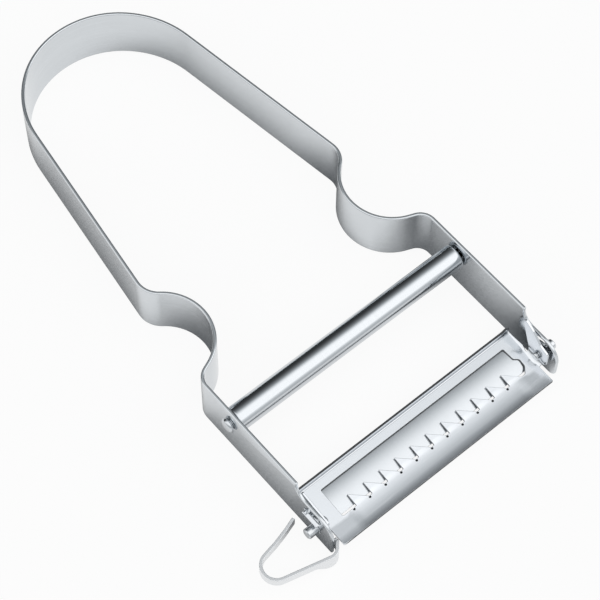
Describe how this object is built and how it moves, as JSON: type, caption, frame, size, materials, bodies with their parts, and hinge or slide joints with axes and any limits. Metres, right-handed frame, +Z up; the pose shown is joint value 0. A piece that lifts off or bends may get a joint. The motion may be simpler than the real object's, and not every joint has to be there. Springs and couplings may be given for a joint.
{
  "type": "julienne peeler",
  "caption": "Julienne peeler: a bow of bent flat steel strip with a riveted cross bar, a swivelling blade with upright teeth between its arms, and a looped eye remover beside one arm.",
  "frame": {"origin": "middle of the bow's crown, on the lower edge of its strip that the peeler lies on", "axes": "+Z up, out of the lying peeler; the arms run towards -Y, so +Y points from the blade to the bow's crown; X runs along the blade and the cross bar, with the eye remover at -X"},
  "size_m": [0.0801, 0.1327, 0.014],
  "materials": {
    "satin_strip_steel": "satin",
    "polished_bar_steel": "polished",
    "bright_sheet_steel": "bright rolled sheet",
    "ground_blade_steel": "ground",
    "turned_pin_steel": "turned",
    "narrow_strip_steel": "satin"
  },
  "bodies": {
    "handle": {"bow_handle": "satin_strip_steel", "cross_bar": "polished_bar_steel", "eye_remover": "narrow_strip_steel"},
    "blade": {"blade_carrier": "bright_sheet_steel", "slicing_blade": "ground_blade_steel", "pivot_pin_left": "turned_pin_steel", "pivot_pin_right": "turned_pin_steel"}
  },
  "joints": [
    {"name": "blade_swivel", "type": "hinge", "parent": "handle", "child": "blade", "pos_m": [0, -0.12506, 0.0046], "axis": [1, 0, 0], "range_deg": [0, 50]}
  ]
}
